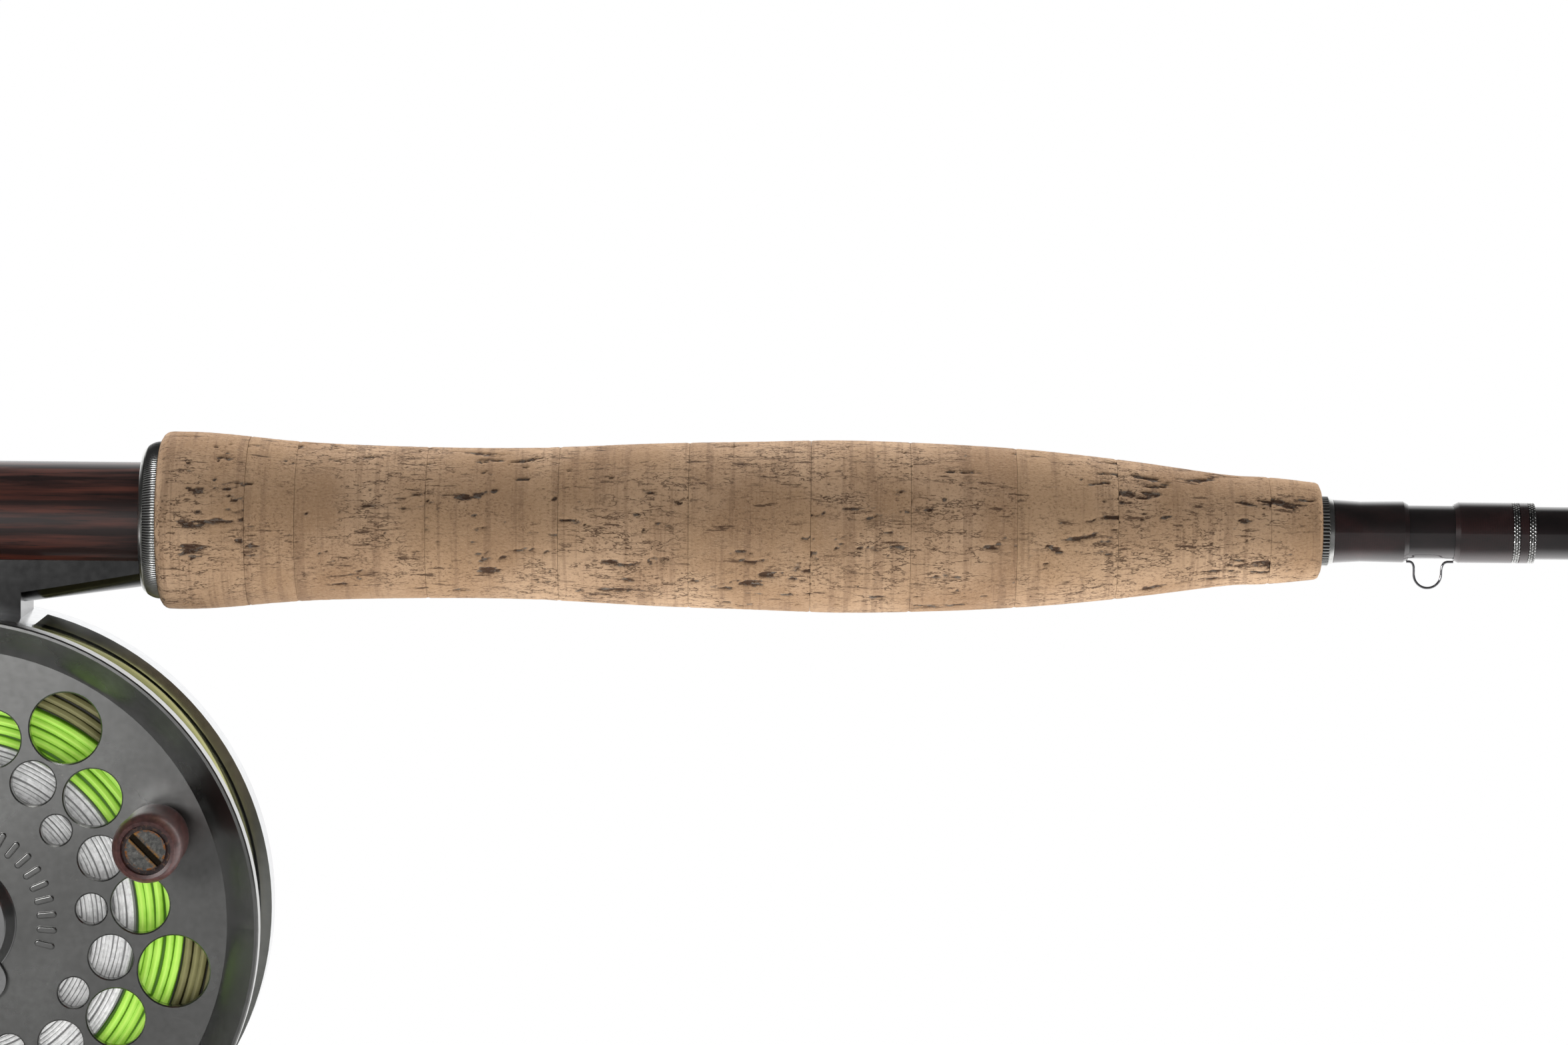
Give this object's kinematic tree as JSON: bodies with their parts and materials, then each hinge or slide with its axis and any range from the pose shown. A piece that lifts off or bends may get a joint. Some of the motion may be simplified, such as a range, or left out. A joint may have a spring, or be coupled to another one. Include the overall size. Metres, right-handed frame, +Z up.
{
  "type": "fishing rod and reel",
  "caption": "Sectional fly rod with cork grip, uplocking wood reel seat and wire guides, fitted with a ported fly reel wound with backing and line.",
  "frame": {"origin": "on the rod's axis at the flat end of the butt cap", "axes": "+X along the rod from butt to tip, +Z up with the reel hanging below, the reel's handle side faces -Y"},
  "size_m": [2.4372, 0.0525, 0.1157],
  "materials": {
    "cork": "natural matt cork, sanded",
    "seat_wood": "dark stained hardwood, gloss varnish",
    "nickel": "bright nickel silver, knurled",
    "blank": "dark maroon graphite, gloss varnish",
    "thread": "dark maroon silk whipping under varnish",
    "silver_thread": "metallic silver braid",
    "spool_metal": "pewter satin anodised",
    "frame_metal": "bright satin anodised",
    "foot_metal": "black satin anodised",
    "cap_metal": "turned bright satin",
    "knob": "dark red-brown satin",
    "steel": "bright machined steel",
    "bronze": "oiled bronze",
    "drag_cork": "oiled cork disc",
    "backing": "grey-white braided backing",
    "green_line": "bright green coated line, satin",
    "olive_line": "olive coated line, satin",
    "guide_steel": "polished hard chrome wire",
    "ceramic": "polished dark ceramic"
  },
  "bodies": {
    "rod_handle": {"butt_cap": "nickel", "threaded_barrel": "nickel", "wood_insert": "seat_wood", "hood_ring": "nickel", "fixed_hood": "nickel", "cork_ring_01": "cork", "cork_ring_02": "cork", "cork_ring_03": "cork", "cork_ring_04": "cork", "cork_ring_05": "cork", "cork_ring_06": "cork", "cork_ring_07": "cork", "cork_ring_08": "cork", "cork_ring_09": "cork", "cork_ring_10": "cork", "cork_ring_11": "cork", "blank_butt": "blank", "winding_check": "nickel", "keeper_wrap_rear": "thread", "keeper_wrap_front": "thread", "trim_bands": "silver_thread", "hook_keeper": "guide_steel", "reel_foot": "foot_metal", "foot_screws": "steel", "reel_frame": "frame_metal", "spindle": "steel", "drag_washer": "drag_cork", "drag_springs": "steel", "click_pawl": "steel", "click_spring": "steel"},
    "sliding_hood": {"sliding_hood": "nickel"},
    "lock_nut": {"lock_nut": "nickel"},
    "drag_knob": {"drag_knob": "spool_metal"},
    "spool": {"spool": "spool_metal", "spool_bushings": "bronze", "counterweight": "bronze", "drag_plate": "steel", "click_gear": "steel", "centre_cap": "cap_metal", "latch_spring": "steel", "handle_post": "steel", "handle_screw": "steel", "backing_winding": "backing", "green_line_winding": "green_line", "olive_line_winding": "olive_line"},
    "release_latch": {"release_latch": "cap_metal"},
    "handle_knob": {"handle_knob": "knob"},
    "second_section": {"blank_section_2": "blank", "stripping_guide": "guide_steel", "stripping_ring": "ceramic", "snake_guide_2": "guide_steel", "guide_wraps_2": "thread"},
    "third_section": {"blank_section_3": "blank", "snake_guides_3": "guide_steel", "guide_wraps_3": "thread"},
    "tip_section": {"blank_section_4": "blank", "snake_guides_4": "guide_steel", "guide_wraps_4": "thread", "tip_top": "guide_steel"}
  },
  "joints": [
    {"name": "hood_slide", "type": "slide", "parent": "rod_handle", "child": "sliding_hood", "axis": [-1, 0, 0], "range_m": [0, 0.0104]},
    {"name": "nut_turn", "type": "hinge", "parent": "sliding_hood", "child": "lock_nut", "pos_m": [0.036, 0, 0], "axis": [1, 0, 0], "range_deg": [0, 2520]},
    {"name": "drag_turn", "type": "hinge", "parent": "rod_handle", "child": "drag_knob", "pos_m": [0.0808, 0, -0.0579], "axis": [0, 1, 0], "range_deg": [0, 300]},
    {"name": "spool_spin", "type": "hinge", "parent": "rod_handle", "child": "spool", "pos_m": [0.0808, 0, -0.0579], "axis": [0, 1, 0], "continuous": true},
    {"name": "latch_slide", "type": "slide", "parent": "spool", "child": "release_latch", "axis": [-0.515, 0, 0.8572], "range_m": [0, 0.0008], "stiffness_N_per_m": 800, "springref_m": -0.0003},
    {"name": "handle_spin", "type": "hinge", "parent": "spool", "child": "handle_knob", "pos_m": [0.11079, 0, -0.04449], "axis": [0, 1, 0], "continuous": true},
    {"name": "ferrule_1_pull", "type": "slide", "parent": "rod_handle", "child": "second_section", "axis": [1, 0, 0], "range_m": [0, 0.056]},
    {"name": "ferrule_2_pull", "type": "slide", "parent": "second_section", "child": "third_section", "axis": [1, 0, 0], "range_m": [0, 0.051]},
    {"name": "ferrule_3_pull", "type": "slide", "parent": "third_section", "child": "tip_section", "axis": [1, 0, 0], "range_m": [0, 0.046]}
  ],
  "couplings": [
    {"joint": "nut_turn", "follows": "hood_slide", "rad_per_m": 4188.8}
  ]
}
